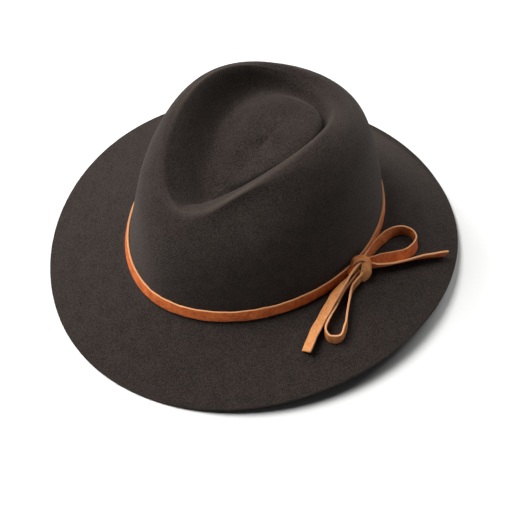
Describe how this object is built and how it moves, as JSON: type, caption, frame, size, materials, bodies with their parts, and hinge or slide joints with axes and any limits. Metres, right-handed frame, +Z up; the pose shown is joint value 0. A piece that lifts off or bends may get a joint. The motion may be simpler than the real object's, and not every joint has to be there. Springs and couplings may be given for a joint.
{
  "type": "wide-brim felt fedora with a leather lace band",
  "caption": "Charcoal wool-felt fedora with a wide round raw-edged brim, a teardrop crown and a tan leather lace tied in a bow at the wearer's left side.",
  "frame": {"origin": "On the surface that the brim rests on, under the middle of the brim.", "axes": "+Z up, the front of the hat looks along -Y, the wearer's left and the bow are on +X."},
  "size_m": [0.2876, 0.3136, 0.1336],
  "materials": {
    "felt": "matt brushed wool felt, dark brownish charcoal",
    "leather": "tan split leather lace with pale cut edges"
  },
  "bodies": {
    "root": {"felt_body": "felt", "hat_band": "leather", "bow_knot": "leather", "bow_loop_upper": "leather", "bow_loop_lower": "leather", "bow_tail_upper": "leather", "bow_tail_lower": "leather"}
  },
  "joints": []
}
